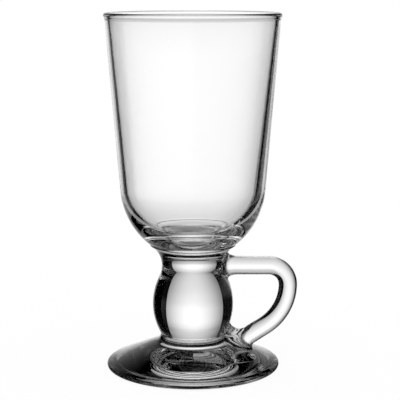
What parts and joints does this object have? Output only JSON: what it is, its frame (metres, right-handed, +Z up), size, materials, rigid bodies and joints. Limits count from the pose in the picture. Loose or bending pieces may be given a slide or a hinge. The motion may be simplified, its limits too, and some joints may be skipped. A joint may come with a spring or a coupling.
{
  "type": "irish coffee glass mug",
  "caption": "Clear glass mug with a tall tapered bowl, a solid baluster stem, a spreading foot and a bent rod handle, for hot drinks.",
  "frame": {"origin": "on the mug's axis, at the table that its foot rests on", "axes": "+Z up along the mug's axis, +X from the axis towards the handle, the handle's loop in the XZ plane"},
  "size_m": [0.0826, 0.075, 0.152],
  "materials": {
    "clear_glass": "fire-polished clear soda-lime glass"
  },
  "bodies": {
    "root": {"bowl": "clear_glass", "stem": "clear_glass", "foot": "clear_glass", "handle": "clear_glass"}
  },
  "joints": []
}
